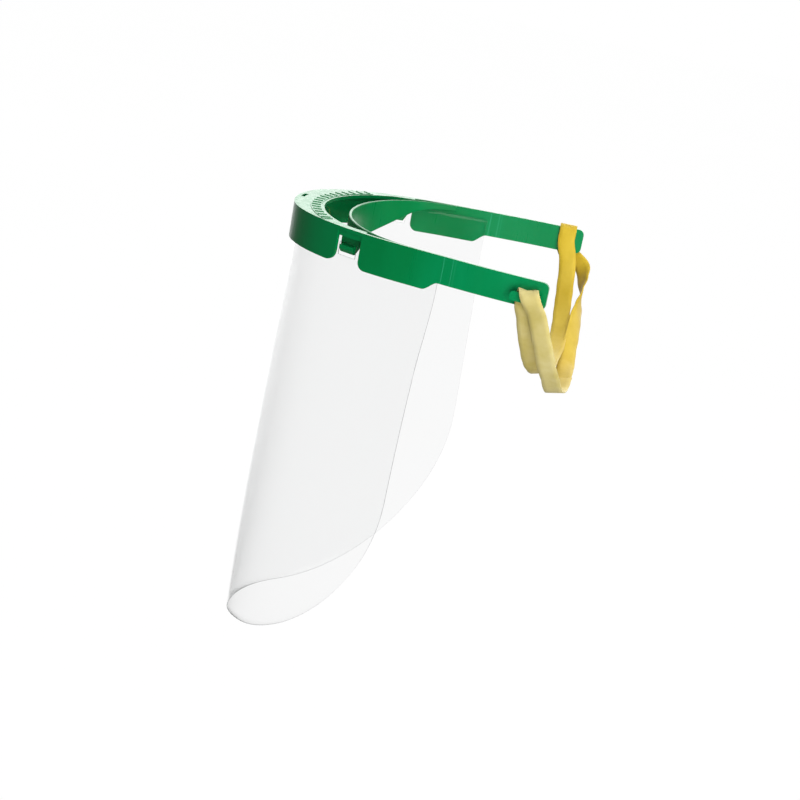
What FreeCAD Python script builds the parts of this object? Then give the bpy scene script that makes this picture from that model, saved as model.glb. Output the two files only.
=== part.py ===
"""Face shield: one-piece green frame, clear bent visor, endless flat latex head band.

The frame is one moulding. It is split here into its working features, one node each.
Axes: +X is the wearer's left, -Y is the front, +Z is up.
Shapes are drawn with the flat top face of the frame at Z = 0 and the wearer's middle
plane at X = 0. They are moved last, so that the point of the head strip that rests on
the middle of the forehead is the origin.
"""
import FreeCAD
import Part
import math
import os

V = FreeCAD.Vector

# ---- frame wall, seen from above, millimetres and degrees ----
FRONT_Y = -86.2          # outer face at the front centre
STEP = 20.0              # the wall is a chain of arcs, each this long
TURNS = (15.7, 23.8, 14.9, 11.6, 7.8, 6.3, -1.1, 2.1, 4.1, -2.0)   # turn of each arc
WALL = 1.8               # wall thickness
PLATE = 2.0              # thickness of the brim plate
SKIRT_DEPTH = 20.2       # front and side skirts, top to bottom edge
ARM_DEPTH = 15.0         # arms, top to bottom edge
GAP_START = 76.2         # distances along the wall from the front centre
GAP_END = 92.3
STEP_START = 132.0
STEP_END = 140.5
HINGE = 144.5
ARM_END = 200.0
SPLIT = 0.15             # half of the cut between two pieces that move apart
CORNER = 4.6             # rounded lower corners of the side skirts
FRONT_CORNER = 6.2       # and of the front skirt
ARM_CORNER = 3.4
EDGE_ROUND = 0.7
RAIL_WIDTH = 5.2         # least width of the rail over the gap
RAIL_DEPTH = 4.9         # its rib, set back from the wall face
RAIL_SET_BACK = 0.5

# ---- brim opening and the raised pad ----
BRIM_HOLE_R = 71.0
BRIM_HOLE_Y = 2.8        # centre of the round inner edge
PAD_INNER = 72.6
PAD_OUTER = 79.0
PAD_HEIGHT = 0.3
PAD_ANGLE = 40.0
RIB_COUNT = 17
RIB_WIDTH = 1.1
RIB_HEIGHT = 0.4
SLOT_WIDTH = 9.0         # core slot above the front tab

# ---- head strip ----
HEAD_A = 72.0            # half axes of its plan ellipse, outer face
HEAD_B = 58.2
HEAD_Y = 5.4
HEAD_WALL = 1.6
HEAD_DEPTH = 20.0
HEAD_ROOT_Y = -6.0       # the strip runs into the wall here

# ---- visor tabs ----
TAB_AT = 83.4            # along the wall
TAB_HALF = 6.4
NOSE_AHEAD = 5.6         # ends of the side nose, ahead of and behind the tab's middle
NOSE_BEHIND = 3.2
TAB_SLANT = (3.2, 5.6)   # cut off the rear lower corner, along and up
TAB_INSET = 3.5          # outer face of the tab, measured in from the wall face
TAB_WALL = 1.5
TAB_TOP = 2.0
TAB_BOTTOM = 14.2
NOSE_TOP = 9.6
SIDE_NOSE_REACH = 1.2    # inset of the tip of the side noses
FRONT_NOSE_REACH = 2.15

# ---- visor ----
SHEET = 0.5
SHEET_INSET = 2.85       # middle of the sheet
SHEET_HALF = 139.4       # half of its flat width
SHEET_TOP = 5.2          # passes under the roots of the head strip
SHEET_LOW = 263.0
SHEET_SAG = 24.0         # the bottom edge is this much higher at the sides
SHEET_CORNER_S = 91.5    # big elliptic lower corners
SHEET_CORNER_H = 102.0
HOLE_AHEAD = 6.8         # ends of the side hole, from the tab's middle
HOLE_BEHIND = 5.0
FRONT_HOLE_HALF = 5.6
HOLE_TOP = 8.6
HOLE_BOTTOM = 16.0

# ---- band hook and band ----
HOOK_TIP = 181.0
HOOK_ROOT = 195.4
HOOK_END = 197.4
HOOK_GAP = 2.3           # space for the band between hook and arm
HOOK_THICK = 1.8
HOOK_TOP = -7.3
HOOK_LOW = -12.3
BAND_AT = 189.6
BAND_WIDTH = 10.4
BAND_THICK = 0.9
BAND_SPACING = 2.0       # steps along the band

ORIGIN = V(0.0, HEAD_Y - HEAD_B + HEAD_WALL, -HEAD_DEPTH / 2.0)


# ---- the wall as a chain of arcs ----
def wall_state(s):
    """Outer face of the left wall, s mm behind the front centre: x, y, heading."""
    x = 0.0
    y = FRONT_Y
    heading = 0.0
    left = s
    for turn in TURNS:
        run = min(left, STEP)
        if run <= 0.0:
            break
        bend = math.radians(turn) * run / STEP
        chord = run * math.sin(bend / 2.0) / (bend / 2.0)
        x += chord * math.cos(heading + bend / 2.0)
        y += chord * math.sin(heading + bend / 2.0)
        heading += bend
        left -= run
    return x, y, heading


def wall_point(s, inset, z=0.0):
    """Point at a distance inside the outer face. Negative s is the wearer's right."""
    x, y, heading = wall_state(abs(s))
    side = -1.0 if s < 0.0 else 1.0
    return V(side * (x - inset * math.sin(heading)), y + inset * math.cos(heading), z)


def wall_edges(s0, s1, inset):
    """Exact arcs of the wall between two distances."""
    stops = [s0]
    knot = math.floor(s0 / STEP) * STEP + STEP
    while knot < s1 - 1e-6:
        stops.append(knot)
        knot += STEP
    stops.append(s1)
    edges = []
    for a, b in zip(stops, stops[1:]):
        middle = wall_point((a + b) / 2.0, inset)
        arc = Part.Arc(wall_point(a, inset), middle, wall_point(b, inset))
        edges.append(arc.toShape())
    return edges


def wall_strip(s0, s1, outer, inner, z_low, z_high):
    """Upright strip that follows the wall."""
    ends = [
        Part.makeLine(wall_point(s0, outer), wall_point(s0, inner)),
        Part.makeLine(wall_point(s1, outer), wall_point(s1, inner)),
    ]
    edges = wall_edges(s0, s1, outer) + wall_edges(s0, s1, inner) + ends
    wire = Part.Wire(Part.__sortEdges__(edges))
    solid = Part.Face(wire).extrude(V(0, 0, z_high - z_low))
    solid.translate(V(0, 0, z_low))
    return solid


def at_wall(shape, s, inset=0.0, z=0.0):
    """Place a shape drawn with X along the wall and Y inward at a point of the wall."""
    heading = math.degrees(wall_state(s)[2])
    placed = shape.copy()
    placed.Placement = FreeCAD.Placement(
        wall_point(s, inset, z), FreeCAD.Rotation(V(0, 0, 1), heading)
    )
    return placed


def wedge(s0, s1):
    """Everything between two cuts square to the wall."""
    corners = [
        wall_point(s0, -6.0),
        wall_point(s1, -6.0),
        wall_point(s1, 34.0),
        wall_point(s0, 34.0),
    ]
    face = Part.Face(Part.makePolygon(corners + [corners[0]]))
    solid = face.extrude(V(0, 0, 60))
    solid.translate(V(0, 0, -40))
    return solid


def corner_cutter(radius, along, up):
    """Removes a square corner at the local origin and leaves a round one.

    The material lies towards `along` on the wall and towards `up` in height.
    """
    block = Part.makeBox(radius + 1.0, 12.0, radius + 1.0)
    x0 = -radius if along < 0 else -1.0
    z0 = -radius if up < 0 else -1.0
    block.translate(V(x0, -4.0, z0))
    round_part = Part.makeCylinder(
        radius, 12.0, V(along * radius, -4.0, up * radius), V(0, 1, 0)
    )
    return block.cut(round_part)


def soften(shape, edges, radius):
    """Round the given edges."""
    return shape.makeFillet(radius, edges)


def top_outer_edges(shape, s0, s1):
    """Edges of the flat top that lie on the outer face of the wall."""
    found = []
    for edge in shape.Edges:
        middle = edge.valueAt((edge.FirstParameter + edge.LastParameter) / 2.0)
        if abs(middle.z) > 1e-3:
            continue
        nearest = min(
            wall_point(s0 + (s1 - s0) * i / 200.0, 0.0).distanceToPoint(middle)
            for i in range(201)
        )
        if nearest < 0.35:
            found.append(edge)
    return found


def mirrored(shape):
    """The same feature on the wearer's right."""
    return shape.mirror(V(0, 0, 0), V(1, 0, 0))


# ---- brim ----
def crescent():
    """Flat plate between the wall and the round inner edge."""
    reach = 110.0
    edges = wall_edges(-reach, reach, 0.0)
    edges.append(Part.makeLine(wall_point(-reach, 0.0), wall_point(reach, 0.0)))
    plate = Part.Face(Part.Wire(Part.__sortEdges__(edges))).extrude(V(0, 0, PLATE))
    plate.translate(V(0, 0, -PLATE))
    hole = Part.makeCylinder(BRIM_HOLE_R, 20.0, V(0, BRIM_HOLE_Y, -10.0))
    return plate.cut(hole)


def make_brim():
    """Front part of the crescent, with the slot above the front tab."""
    plate = crescent()
    side = wedge(GAP_START, 112.0)
    plate = plate.cut(side).cut(mirrored(side))
    slot = Part.makeBox(
        SLOT_WIDTH, 2.2, 6.0, V(-SLOT_WIDTH / 2.0, FRONT_Y + FRONT_NOSE_REACH - 0.2, -4.0)
    )
    plate = plate.cut(slot)
    return soften(plate, top_outer_edges(plate, -GAP_START, GAP_START), EDGE_ROUND)


def make_bridge():
    """Narrow rail over the gap between front skirt and side skirt; carries the tab."""
    rail = crescent().common(wedge(GAP_START, GAP_END))
    rail = rail.fuse(wall_strip(GAP_START, GAP_END, 0.0, RAIL_WIDTH, -PLATE, 0.0))
    rail = rail.fuse(wall_strip(GAP_START, GAP_END, RAIL_SET_BACK, WALL, -RAIL_DEPTH, 0.0))
    rail = rail.removeSplitter()
    return soften(rail, top_outer_edges(rail, GAP_START, GAP_END), EDGE_ROUND)


def make_pad():
    """Raised band along the inner edge, crossed by plain grip ribs."""
    ring = Part.makeCylinder(PAD_OUTER, PAD_HEIGHT, V(0, BRIM_HOLE_Y, 0))
    ring = ring.cut(Part.makeCylinder(PAD_INNER, PAD_HEIGHT, V(0, BRIM_HOLE_Y, 0)))
    half = math.radians(PAD_ANGLE)
    reach = 200.0
    sector = Part.makePolygon([
        V(0, BRIM_HOLE_Y, -1),
        V(-reach * math.sin(half), BRIM_HOLE_Y - reach * math.cos(half), -1),
        V(reach * math.sin(half), BRIM_HOLE_Y - reach * math.cos(half), -1),
        V(0, BRIM_HOLE_Y, -1),
    ])
    pad = ring.common(Part.Face(sector).extrude(V(0, 0, 4)))
    length = PAD_OUTER - PAD_INNER - 1.2
    rib = Part.makeBox(
        RIB_WIDTH, length, RIB_HEIGHT, V(-RIB_WIDTH / 2.0, -PAD_OUTER + 0.6, PAD_HEIGHT)
    )
    ribs = []
    for i in range(RIB_COUNT):
        angle = (i / (RIB_COUNT - 1.0) - 0.5) * 2.0 * (PAD_ANGLE - 2.0)
        one = rib.copy()
        one.rotate(V(0, 0, 0), V(0, 0, 1), angle)
        one.translate(V(0, BRIM_HOLE_Y, 0))
        ribs.append(one)
    return pad.multiFuse(ribs).removeSplitter()


# ---- skirts and arms ----
def make_front_skirt():
    """Wall below the brim, in front of the visor."""
    skirt = wall_strip(-GAP_START, GAP_START, 0.0, WALL, -SKIRT_DEPTH, -PLATE)
    cutter = at_wall(corner_cutter(FRONT_CORNER, -1, 1), GAP_START, 0.0, -SKIRT_DEPTH)
    return skirt.cut(cutter).cut(mirrored(cutter))


def make_side_skirt():
    """Deep front part of the side wall, stepping up to the arm."""
    end = HINGE - SPLIT
    skirt = wall_strip(GAP_END, end, 0.0, WALL, -SKIRT_DEPTH, 0.0)
    skirt = skirt.cut(at_wall(corner_cutter(CORNER, 1, 1), GAP_END, 0.0, -SKIRT_DEPTH))
    rise = SKIRT_DEPTH - ARM_DEPTH
    run = STEP_END - STEP_START
    half = run / 2.0
    start = V(0, -5, 0)
    middle = V(half, -5, rise / 2.0)
    stop = V(run, -5, rise)
    # two equal tangent arcs make the S
    lean = math.radians(19.0)
    low = V(half * 0.56, -5, rise / 2.0 - half * 0.44 * math.tan(2.0 * lean) * 0.98)
    high = V(run - low.x, -5, rise - low.z)
    outline = [
        Part.Arc(start, low, middle).toShape(),
        Part.Arc(middle, high, stop).toShape(),
        Part.makeLine(stop, V(30, -5, rise)),
        Part.makeLine(V(30, -5, rise), V(30, -5, -10)),
        Part.makeLine(V(30, -5, -10), V(0, -5, -10)),
        Part.makeLine(V(0, -5, -10), start),
    ]
    below = Part.Face(Part.Wire(outline)).extrude(V(0, 14, 0))
    skirt = skirt.cut(at_wall(below, STEP_START, 0.0, -SKIRT_DEPTH))
    tail = crescent().common(wedge(GAP_END, GAP_END + 15.0))
    skirt = skirt.fuse(tail).removeSplitter()
    return soften(skirt, top_outer_edges(skirt, GAP_END, end), EDGE_ROUND)


def make_arm():
    """Narrow springy arm that runs back past the temple."""
    start = HINGE + SPLIT
    arm = wall_strip(start, ARM_END, 0.0, WALL, -ARM_DEPTH, 0.0)
    arm = soften(arm, top_outer_edges(arm, start, ARM_END), EDGE_ROUND)
    arm = arm.cut(at_wall(corner_cutter(ARM_CORNER, -1, -1), ARM_END, 0.0, 0.0))
    return arm.cut(at_wall(corner_cutter(ARM_CORNER, -1, 1), ARM_END, 0.0, -ARM_DEPTH))


def make_hook():
    """Finger that stands off the arm and points forward; the band hangs on it."""
    finger = Part.makeBox(HOOK_END - HOOK_TIP, HOOK_THICK, HOOK_TOP - HOOK_LOW)
    finger.translate(V(HOOK_TIP - HOOK_END, -HOOK_GAP - HOOK_THICK, HOOK_LOW))
    tip_edges = [
        edge for edge in finger.Edges
        if abs(edge.BoundBox.XMin - (HOOK_TIP - HOOK_END)) < 1e-3
        and edge.BoundBox.XLength < 1e-3
        and edge.BoundBox.YLength > 1.0
    ]
    finger = soften(finger, tip_edges, 2.0)
    root = Part.makeBox(HOOK_END - HOOK_ROOT, HOOK_GAP, HOOK_TOP - HOOK_LOW)
    root.translate(V(HOOK_ROOT - HOOK_END, -HOOK_GAP, HOOK_LOW))
    return at_wall(finger.fuse(root).removeSplitter(), HOOK_END)


# ---- head strip ----
def head_plan(inset):
    """Plan ellipse of the head strip as a flat face."""
    ellipse = Part.Ellipse(V(0, HEAD_Y, 0), HEAD_A - inset, HEAD_B - inset)
    return Part.Face(Part.Wire(ellipse.toShape()))


def make_headband():
    """Strip that rests on the forehead; deep in the middle, shallow at its roots."""
    ring = head_plan(0.0).cut(head_plan(HEAD_WALL))
    strip = ring.extrude(V(0, 0, HEAD_DEPTH))
    strip.translate(V(0, 0, -HEAD_DEPTH))
    front = HEAD_Y - HEAD_B
    side_view = [
        V(-100, front - 5, 1),
        V(-100, front - 5, -HEAD_DEPTH - 1),
        V(-100, front + 4, -HEAD_DEPTH - 1),
        V(-100, front + 4, -HEAD_DEPTH),
        V(-100, front + 12, -15.0),
        V(-100, front + 24, -7.0),
        V(-100, front + 33, -4.6),
        V(-100, HEAD_ROOT_Y, -3.6),
        V(-100, HEAD_ROOT_Y, 1),
        V(-100, front - 5, 1),
    ]
    keep = Part.Face(Part.makePolygon(side_view)).extrude(V(200, 0, 0))
    strip = strip.common(keep)
    inside = wall_strip(60.0, 143.0, WALL, WALL + 30.0, -30.0, 5.0)
    middle = Part.makeBox(104.0, 90.0, 40.0, V(-52.0, -60.0, -30.0))
    return strip.common(middle.fuse(inside).fuse(mirrored(inside)))


# ---- visor tabs ----
def make_tab(half, nose_ahead, nose_behind, slant, nose_reach):
    """Springy tab with a nose that holds the visor by its hole, drawn in place at s=0."""
    height = TAB_BOTTOM - TAB_TOP - 2.0 * SPLIT
    plate = Part.makeBox(2.0 * half, TAB_WALL, height, V(-half, 0.0, -TAB_BOTTOM))
    reach = TAB_INSET - nose_reach
    profile = Part.makePolygon([
        V(-nose_ahead, 0.0, -NOSE_TOP),
        V(-nose_ahead, -reach, -NOSE_TOP - 0.5),
        V(-nose_ahead, -reach, -NOSE_TOP - 2.4),
        V(-nose_ahead, 0.0, -TAB_BOTTOM),
        V(-nose_ahead, 0.0, -NOSE_TOP),
    ])
    nose = Part.Face(profile).extrude(V(nose_ahead + nose_behind, 0, 0))
    tab = plate.fuse(nose).removeSplitter()
    if slant is None:
        return tab
    corner = Part.makePolygon([
        V(half, -6.0, -TAB_BOTTOM),
        V(half - slant[0], -6.0, -TAB_BOTTOM),
        V(half, -6.0, -TAB_BOTTOM + slant[1]),
        V(half, -6.0, -TAB_BOTTOM),
    ])
    return tab.cut(Part.Face(corner).extrude(V(0, 12, 0)))


# ---- visor ----
def spread(depth):
    """How far the free side edges stand outward of the frame at a depth."""
    rise = min(1.0, max(0.0, (depth - 18.0) / 45.0))
    rise = rise * rise * (3.0 - 2.0 * rise)
    return rise * (0.30 * depth - 0.00132 * depth * depth)


def sheet_bottom(s):
    """Depth of the lower edge at a distance from the middle of the sheet."""
    past = max(0.0, (abs(s) - SHEET_HALF + SHEET_CORNER_S) / SHEET_CORNER_S)
    rounding = math.sqrt(max(0.0, 1.0 - past * past))
    side_end = SHEET_LOW - SHEET_SAG - SHEET_CORNER_H
    sag = SHEET_SAG * (1.0 - (s / SHEET_HALF) ** 2)
    return side_end + (SHEET_CORNER_H + sag) * rounding


def sheet_point(s, depth, inset):
    """Point of the sheet. Below the skirts its sides open and its front leans out."""
    at_top = wall_point(s, inset)
    rear = wall_point(SHEET_HALF, SHEET_INSET)
    back = (at_top.y - FRONT_Y) / (rear.y - FRONT_Y)
    x = at_top.x * (1.0 + spread(depth) / rear.x)
    below = max(0.0, depth - 18.0)
    y = at_top.y - 0.018 * below + 0.0001 * below * below * back
    return V(x, y, -depth)


def solid_between(outer, inner):
    """Solid between two point grids of the same size."""
    sides = []
    for grid in (outer, inner):
        surface = Part.BSplineSurface()
        surface.interpolate(grid)
        sides.append(surface.toShape())
    faces = list(sides)
    for first, second in zip(sides[0].Edges, sides[1].Edges):
        faces.append(Part.makeRuledSurface(first, second))
    shell = Part.makeShell(faces)
    shell.sewShape()
    solid = Part.makeSolid(shell)
    if solid.Volume < 0:
        solid.reverse()
    return solid


def sheet_grid(inset):
    """Grid of points over one face of the visor."""
    columns = 40
    rows = 18
    grid = []
    for i in range(columns + 1):
        s = SHEET_HALF * math.sin(math.pi / 2.0 * (2.0 * i / columns - 1.0))
        low = sheet_bottom(s)
        line = []
        for j in range(rows + 1):
            share = (j / rows) ** 1.3
            depth = SHEET_TOP + (low - SHEET_TOP) * share
            line.append(sheet_point(s, depth, inset))
        grid.append(line)
    return grid


def hole_cutter(ahead, behind):
    """Square hole for a nose, drawn through the local origin."""
    return Part.makeBox(
        ahead + behind, 8.0, HOLE_BOTTOM - HOLE_TOP, V(-ahead, -4.0, -HOLE_BOTTOM)
    )


def make_visor():
    """Clear bent sheet with three holes for the tabs."""
    half = SHEET / 2.0
    sheet = solid_between(sheet_grid(SHEET_INSET - half), sheet_grid(SHEET_INSET + half))
    side = at_wall(hole_cutter(HOLE_AHEAD, HOLE_BEHIND), TAB_AT, SHEET_INSET)
    front = at_wall(hole_cutter(FRONT_HOLE_HALF, FRONT_HOLE_HALF), 0.0, SHEET_INSET)
    for cutter in (side, mirrored(side), front):
        sheet = sheet.cut(cutter)
    return sheet


# ---- latex band ----
def hook_path(side, stand_offs):
    """Band points beside a hook: distance off the arm face, height, shift backwards."""
    heading = wall_state(BAND_AT)[2]
    points = []
    for off, z, shift in stand_offs:
        at = wall_point(side * (BAND_AT + shift), -off, z)
        points.append((at, V(side * math.cos(heading), math.sin(heading), 0)))
    return points


def free_path(points):
    """Band points hanging clear, with the band's width square to its run."""
    return [(V(x, y, z), V(wx, wy, wz).normalize()) for x, y, z, wx, wy, wz in points]


def polygon_face(corners):
    """Flat face through corner points."""
    return Part.Face(Part.makePolygon(corners + [corners[0]]))


def even_path(path):
    """The same path at even spacing, so that the strip bends smoothly."""
    curve = Part.BSplineCurve()
    curve.interpolate([at for at, _ in path])
    stops = [curve.parameter(at) for at, _ in path]
    count = int(curve.length() / BAND_SPACING)
    even = []
    for at in curve.toShape().discretize(Number=count + 1):
        here = min(max(curve.parameter(at), stops[0]), stops[-1])
        k = 0
        while k < len(stops) - 2 and here > stops[k + 1]:
            k += 1
        share = (here - stops[k]) / (stops[k + 1] - stops[k])
        width = path[k][1] * (1.0 - share) + path[k + 1][1] * share
        even.append((at, width.normalize()))
    return even


def ribbon(path):
    """Flat strip through points, each with the direction of its width."""
    path = even_path(path)
    rings = []
    for i, (at, width) in enumerate(path):
        before = path[max(0, i - 1)][0]
        after = path[min(len(path) - 1, i + 1)][0]
        lift = (after - before).cross(width).normalize() * (BAND_THICK / 2.0)
        reach = width * (BAND_WIDTH / 2.0)
        rings.append([at - reach - lift, at + reach - lift, at + reach + lift,
                      at - reach + lift])
    faces = [polygon_face(rings[0]), polygon_face(rings[-1])]
    for near, far in zip(rings, rings[1:]):
        for k in range(4):
            n = (k + 1) % 4
            faces.append(polygon_face([near[k], near[n], far[n]]))
            faces.append(polygon_face([near[k], far[n], far[k]]))
    solid = Part.makeSolid(Part.makeShell(faces))
    if solid.Volume < 0:
        solid.reverse()
    return solid


def make_left_band():
    """Half of the band that hangs on the left hook, draped over the finger."""
    half = BAND_THICK / 2.0
    near = HOOK_GAP / 2.0
    far = HOOK_GAP + HOOK_THICK + 0.45 + half
    crown = HOOK_TOP + 0.5 + half
    outer = free_path([
        (0.3, 87.0, -71.6, 0.1, 1.0, 0.25),
        (17.0, 87.4, -73.4, 0.06, 1.0, 0.25),
        (36.0, 86.0, -70.0, 0.06, 1.0, 0.25),
        (54.0, 83.5, -58.2, 0.1, 1.0, 0.25),
        (67.0, 80.0, -45.3, 0.1, 1.0, 0.25),
        (77.0, 76.2, -31.5, 0.1, 1.0, 0.18),
        (83.6, 72.4, -19.4, 0.1, 1.0, 0.1),
    ])
    over = hook_path(1, [
        (far + 0.2, -11.0, 4.2), (far + 0.1, crown - 0.7, 2.0), (near + 1.9, crown + 1.2, 0.5),
        (near + 0.25, crown - 0.5, -0.5), (near, -10.2, -0.7), (near, -14.6, -0.4),
    ])
    inner = free_path([
        (78.6, 66.4, -23.5, 0.1, 1.0, 0.1),
        (71.5, 68.7, -35.0, 0.1, 1.0, 0.2),
        (61.0, 71.3, -46.8, 0.08, 1.0, 0.25),
        (47.0, 74.2, -57.0, 0.06, 1.0, 0.25),
        (26.0, 76.6, -63.4, 0.05, 1.0, 0.28),
        (0.3, 77.4, -62.9, 0.05, 1.0, 0.28),
    ])
    return ribbon(outer + over + inner)


def make_right_band():
    """Half of the band on the right: between hook and arm, then over the arm."""
    half = BAND_THICK / 2.0
    near = HOOK_GAP / 2.0
    outer = free_path([
        (-0.3, 87.0, -71.6, -0.1, -1.0, -0.25),
        (-18.0, 85.8, -66.0, 0.7, -0.7, 0.0),
        (-36.0, 84.6, -57.2, 0.8, -0.6, 0.1),
        (-50.0, 83.6, -49.6, 0.85, -0.5, 0.15),
        (-61.0, 83.2, -43.2, 0.93, -0.3, 0.2),
        (-70.0, 82.6, -36.0, 0.93, 0.1, 0.35),
        (-77.0, 80.8, -28.7, 0.7, 0.6, 0.4),
        (-82.0, 78.0, -21.6, 0.35, 0.9, 0.2),
    ])
    over = hook_path(-1, [
        (near, -14.8, 1.6), (near, -11.0, 0.3), (near, -1.0, 0.3), (0.3, 1.1, 0.4),
        (-WALL / 2.0, 1.5, 0.4), (-WALL - 0.5, 0.9, 0.4), (-WALL - 0.6 - half, -1.4, 0.4),
        (-WALL - 0.8 - half, -8.0, 0.4),
    ])
    inner = free_path([
        (-76.0, 69.6, -21.0, 0.0, 1.0, 0.2),
        (-66.6, 71.8, -34.4, 0.0, 1.0, 0.24),
        (-54.0, 74.2, -46.0, 0.0, 1.0, 0.25),
        (-38.0, 76.2, -55.6, 0.0, 1.0, 0.25),
        (-20.0, 77.4, -60.8, 0.02, 1.0, 0.28),
        (-0.3, 77.4, -62.9, 0.05, 1.0, 0.28),
    ])
    return ribbon(outer + over + inner)


def save(name, shape):
    """Move a finished piece to the shared origin and write it."""
    piece = shape.copy()
    piece.translate(ORIGIN * -1.0)
    if len(piece.Solids) != 1 or not piece.isValid():
        print("CHECK", name, len(piece.Solids), "solids, valid:", piece.isValid())
    piece.Solids[0].exportStep("parts/" + name + ".step")


def main():
    os.makedirs("parts", exist_ok=True)
    save("brim", make_brim())
    save("brim_pad", make_pad())
    save("front_skirt", make_front_skirt())
    save("headband", make_headband())
    front_half = SLOT_WIDTH / 2.0 - 0.3
    front_nose = front_half - 0.6
    front_tab = make_tab(front_half, front_nose, front_nose, None, FRONT_NOSE_REACH)
    save("front_visor_tab", at_wall(front_tab, 0.0, TAB_INSET))
    save("visor", make_visor())
    side_tab = make_tab(TAB_HALF, NOSE_AHEAD, NOSE_BEHIND, TAB_SLANT, SIDE_NOSE_REACH)
    side_tab = at_wall(side_tab, TAB_AT, TAB_INSET)
    pairs = {
        "bridge": make_bridge(),
        "side_skirt": make_side_skirt(),
        "arm": make_arm(),
        "band_hook": make_hook(),
        "visor_tab": side_tab,
    }
    for name, shape in pairs.items():
        save("left_" + name, shape)
        save("right_" + name, mirrored(shape))
    save("left_band", make_left_band())
    save("right_band", make_right_band())


main()
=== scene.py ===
"""Looks of a face shield: one-piece green moulded frame, clear bent visor, latex band.

Lengths are millimetres in the drawing's own frame (top of the frame at Z = 0, wearer's
middle plane at X = 0, front towards -Y) until place() moves them to the part's frame.
Places along the wall are distances from the front centre, negative on the right side.
"""
import math
import bmesh
import bpy
from mathutils import Matrix, Vector


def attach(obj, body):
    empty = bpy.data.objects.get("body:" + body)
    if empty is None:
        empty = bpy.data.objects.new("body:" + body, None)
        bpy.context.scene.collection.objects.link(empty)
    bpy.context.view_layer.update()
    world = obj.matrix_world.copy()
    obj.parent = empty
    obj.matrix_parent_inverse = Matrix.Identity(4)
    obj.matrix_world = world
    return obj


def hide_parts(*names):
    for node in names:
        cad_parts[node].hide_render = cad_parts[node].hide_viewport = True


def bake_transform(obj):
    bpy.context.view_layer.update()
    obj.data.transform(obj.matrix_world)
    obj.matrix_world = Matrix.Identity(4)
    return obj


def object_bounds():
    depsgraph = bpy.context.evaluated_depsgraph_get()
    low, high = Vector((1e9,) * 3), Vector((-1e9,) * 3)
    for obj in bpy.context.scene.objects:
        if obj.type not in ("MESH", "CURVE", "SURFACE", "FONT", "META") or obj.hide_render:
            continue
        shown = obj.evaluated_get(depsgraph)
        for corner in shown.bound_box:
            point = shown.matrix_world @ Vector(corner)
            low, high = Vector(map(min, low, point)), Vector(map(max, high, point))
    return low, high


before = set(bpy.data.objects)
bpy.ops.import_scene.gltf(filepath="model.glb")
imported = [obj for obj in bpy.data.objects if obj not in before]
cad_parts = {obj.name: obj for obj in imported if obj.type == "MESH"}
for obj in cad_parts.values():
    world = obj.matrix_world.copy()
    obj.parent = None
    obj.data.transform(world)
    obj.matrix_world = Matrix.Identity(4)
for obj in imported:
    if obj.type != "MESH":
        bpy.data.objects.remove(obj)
cad_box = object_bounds()
scene = bpy.context.scene

# ---- frame wall and brim, as in the CAD source ----
FRONT_Y = -86.2          # outer face at the front centre
STEP = 20.0              # the wall is a chain of arcs, each this long
TURNS = (15.7, 23.8, 14.9, 11.6, 7.8, 6.3, -1.1, 2.1, 4.1, -2.0)   # degrees, each arc
WALL = 1.8
PLATE = 2.0              # thickness of the brim plate
SKIRT = 20.2             # depth of the front and side skirts
ARM = 15.0               # depth of the arms
GAP_START = 76.2         # the gap beside each side tab
GAP_END = 92.3
STEP_START = 132.0       # the S step from skirt to arm
STEP_END = 140.5
HINGE = 144.5            # the arm flexes about here
FLEX = 4.5               # and the bend is spread this far each way
ARM_END = 200.0
FRONT_CORNER = 6.2       # lower corners of the front skirt
CORNER = 4.6             # and of the side skirts
ARM_CORNER = 3.4         # both corners of the arm's end
EDGE_ROUND = 0.75        # round of the top outer edge
NARROW_ROUND = 0.55      # share of a round's width at the other edges
RAIL = 5.2               # least width of the brim over a gap
RAIL_DEPTH = 4.9         # its rib, set back from the wall face
RAIL_SET_BACK = 0.5
RAIL_REAR = 1.74         # just short of the wall's inner face
RAIL_TOP = -0.6
RAIL_LAP = 0.8           # the rib runs this far into the walls beside the gap
SUNK = 0.6               # a raised feature's root runs this far into the wall
BRIM_LEAST = 1.2         # the brim dies into the wall at this width
BRIM_PITCH = 2.0
BRIM_STOPS = 54
HOLE_R = 71.0            # the brim's round opening
HOLE_Y = 2.8
SLOT_HALF = 4.5          # core slot above the front tab: half width and insets
SLOT_INSETS = (1.95, 4.15)
SLOT_CUT = (-5.0, 1.0)
CUT_AT = 88.0            # the shell's front third ends here, in the rails
BEYOND = 300.0           # past the end of any arm

# ---- lines left by the mould's inserts, and pale lines painted on as their highlights ----
WITNESS_RAISED = (141.8, 147.0)   # these stand up from the face
WITNESS_HALF = 0.22
WITNESS_SPAN = (-3.4, -14.0)
WITNESS_PROUD = 0.12
# Pale lines painted across the arms: painted highlights for the light that the raised
# lines catch.
HIGHLIGHT_LINES = ((141.8, 0.34), (147.0, 0.28), (148.6, 0.12))   # place, how strong the painted highlight line is
HIGHLIGHT_LINE_HALF = 0.0003       # half width of a painted highlight line, metres

# ---- the arms are paler than the front: the tone turns between these Y, metres ----
PALER_FROM = 0.045
PALER_TO = 0.085

# ---- band hooks ----
HOOK_TIP = 181.0
HOOK_ROOT = 195.4
HOOK_END = 197.4
HOOK_GAP = 2.3           # space for the band between finger and arm
HOOK_THICK = 1.8
HOOK_TOP = -7.3
HOOK_LOW = -12.3
HOOK_CORNER = 1.9
HOOK_LAP = 0.4           # the root runs this far into the finger

# ---- head strip, an ellipse in plan ----
HEAD_A = 72.0
HEAD_B = 58.2
HEAD_Y = 5.4
HEAD_WALL = 1.6
HEAD_DEPTH = 20.0
HEAD_END = 80.6          # degrees from the front to each root
HEAD_ROUND = 0.8
# Its lower edge: distance behind the strip's front, then height.
HEAD_LOW = ((-1.0, -HEAD_DEPTH), (4.0, -HEAD_DEPTH), (12.0, -15.0), (24.0, -7.0),
            (33.0, -4.6), (46.8, -3.6), (72.8, -3.4))

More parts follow.
